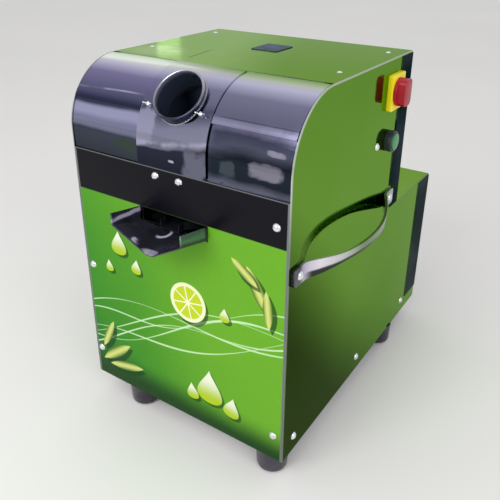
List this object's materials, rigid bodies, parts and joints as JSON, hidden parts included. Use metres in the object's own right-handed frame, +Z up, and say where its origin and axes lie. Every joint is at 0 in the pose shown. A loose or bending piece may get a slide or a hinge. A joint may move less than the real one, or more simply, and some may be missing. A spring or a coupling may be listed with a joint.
{
  "type": "electric sugarcane juicer",
  "caption": "Countertop cabinet machine that crushes cane between grooved rollers, with a round feed tube, a folded juice spout and a rear chute.",
  "frame": {"origin": "middle of the machine's box, on the floor under the feet", "axes": "+X to the operator's right, +Y from the printed front to the rear cover, +Z up"},
  "size_m": [0.489, 0.663, 0.6268],
  "materials": {
    "mirror_steel": "mirror-polished stainless sheet",
    "hood_steel": "bright rolled stainless sheet",
    "green_film": "glossy green film on sheet",
    "printed_front": "printed glossy film on sheet",
    "bare_steel": "bare steel",
    "machined_steel": "machined",
    "painted_frame": "grey paint",
    "motor_paint": "blue-grey enamel",
    "bronze": "turned bronze",
    "bright_fastener": "bright zinc",
    "switch_yellow": "moulded",
    "switch_red": "moulded",
    "button_green": "moulded",
    "black_plastic": "moulded",
    "feet_rubber": "moulded"
  },
  "bodies": {
    "cabinet": {"side_panel_right": "green_film", "side_panel_left": "green_film", "top_panel": "green_film", "motor_box_lid": "green_film", "front_panel": "printed_front", "front_plain_panel": "mirror_steel", "feed_guide": "bare_steel", "rear_cover": "mirror_steel", "motor_box_cover": "mirror_steel", "base_plate": "bare_steel", "motor_rails": "painted_frame", "crusher_stand": "painted_frame", "foot_front_left": "feet_rubber", "foot_front_right": "feet_rubber", "foot_rear_left": "feet_rubber", "foot_rear_right": "feet_rubber", "top_hinge_leaf": "bare_steel", "hinge_pin": "bare_steel", "cheek_right": "machined_steel", "cheek_left": "machined_steel", "tie_bars": "machined_steel", "roller_bushes": "bronze", "drive_chain": "bare_steel", "gearbox": "motor_paint", "motor_body": "motor_paint", "fan_cowl": "black_plastic", "terminal_box": "black_plastic", "juice_tray": "bare_steel", "juice_spout": "mirror_steel", "turn_plate": "machined_steel", "bagasse_slide": "bare_steel", "bagasse_chute": "mirror_steel", "isolator_plate": "switch_yellow", "isolator_body": "black_plastic", "button_collar": "black_plastic", "button_contacts": "black_plastic", "handle_right": "bare_steel", "handle_left": "bare_steel", "dome_bolts": "bright_fastener", "handle_bolts": "bright_fastener", "top_screws": "bright_fastener", "top_plate": "bare_steel", "cable_gland": "black_plastic"},
    "hood": {"hood": "hood_steel", "feed_plate": "mirror_steel", "feed_tube": "mirror_steel", "hood_hinge_leaf": "bare_steel"},
    "thumb_screw_left": {"thumb_screw_left": "bright_fastener"},
    "thumb_screw_right": {"thumb_screw_right": "bright_fastener"},
    "roller_discharge": {"roller_discharge": "machined_steel", "gear_discharge": "machined_steel", "driven_sprocket": "machined_steel"},
    "roller_top": {"roller_top": "machined_steel", "gear_top": "machined_steel"},
    "roller_feed": {"roller_feed": "machined_steel", "gear_feed": "machined_steel"},
    "drive_shaft": {"drive_shaft": "machined_steel", "drive_sprocket": "machined_steel"},
    "isolator_knob": {"isolator_knob": "switch_red"},
    "start_button": {"start_button": "button_green"}
  },
  "joints": [
    {"name": "hood_lift", "type": "hinge", "parent": "cabinet", "child": "hood", "pos_m": [0, -0.1679, 0.6193], "axis": [-1, 0, 0], "range_deg": [0, 75]},
    {"name": "roller_discharge_turn", "type": "hinge", "parent": "cabinet", "child": "roller_discharge", "pos_m": [0, -0.09061, 0.46171], "axis": [1, 0, 0], "continuous": true, "deforming": ["drive_chain"]},
    {"name": "roller_top_turn", "type": "hinge", "parent": "cabinet", "child": "roller_top", "pos_m": [0, -0.12393, 0.53002], "axis": [1, 0, 0], "continuous": true},
    {"name": "roller_feed_turn", "type": "hinge", "parent": "cabinet", "child": "roller_feed", "pos_m": [0, -0.17672, 0.47535], "axis": [1, 0, 0], "continuous": true},
    {"name": "drive_shaft_turn", "type": "hinge", "parent": "cabinet", "child": "drive_shaft", "pos_m": [0.105, 0.17633, 0.154], "axis": [1, 0, 0], "continuous": true},
    {"name": "thumb_screw_left_turn", "type": "hinge", "parent": "hood", "child": "thumb_screw_left", "pos_m": [-0.045, -0.25443, 0.57586], "axis": [0, -0.8339, 0.5519], "continuous": true},
    {"name": "thumb_screw_right_turn", "type": "hinge", "parent": "hood", "child": "thumb_screw_right", "pos_m": [0.049, -0.25443, 0.57586], "axis": [0, -0.8339, 0.5519], "continuous": true},
    {"name": "isolator_turn", "type": "hinge", "parent": "cabinet", "child": "isolator_knob", "pos_m": [0.216, 0.0535, 0.568], "axis": [1, 0, 0], "range_deg": [0, 90]},
    {"name": "start_button_press", "type": "slide", "parent": "cabinet", "child": "start_button", "axis": [-1, 0, 0], "range_m": [0, 0.004], "stiffness_N_per_m": 900, "springref_m": -0.002}
  ],
  "couplings": [
    {"joint": "roller_top_turn", "follows": "roller_discharge_turn", "ratio": -1},
    {"joint": "roller_feed_turn", "follows": "roller_discharge_turn", "ratio": 1},
    {"joint": "drive_shaft_turn", "follows": "roller_discharge_turn", "ratio": 2}
  ]
}
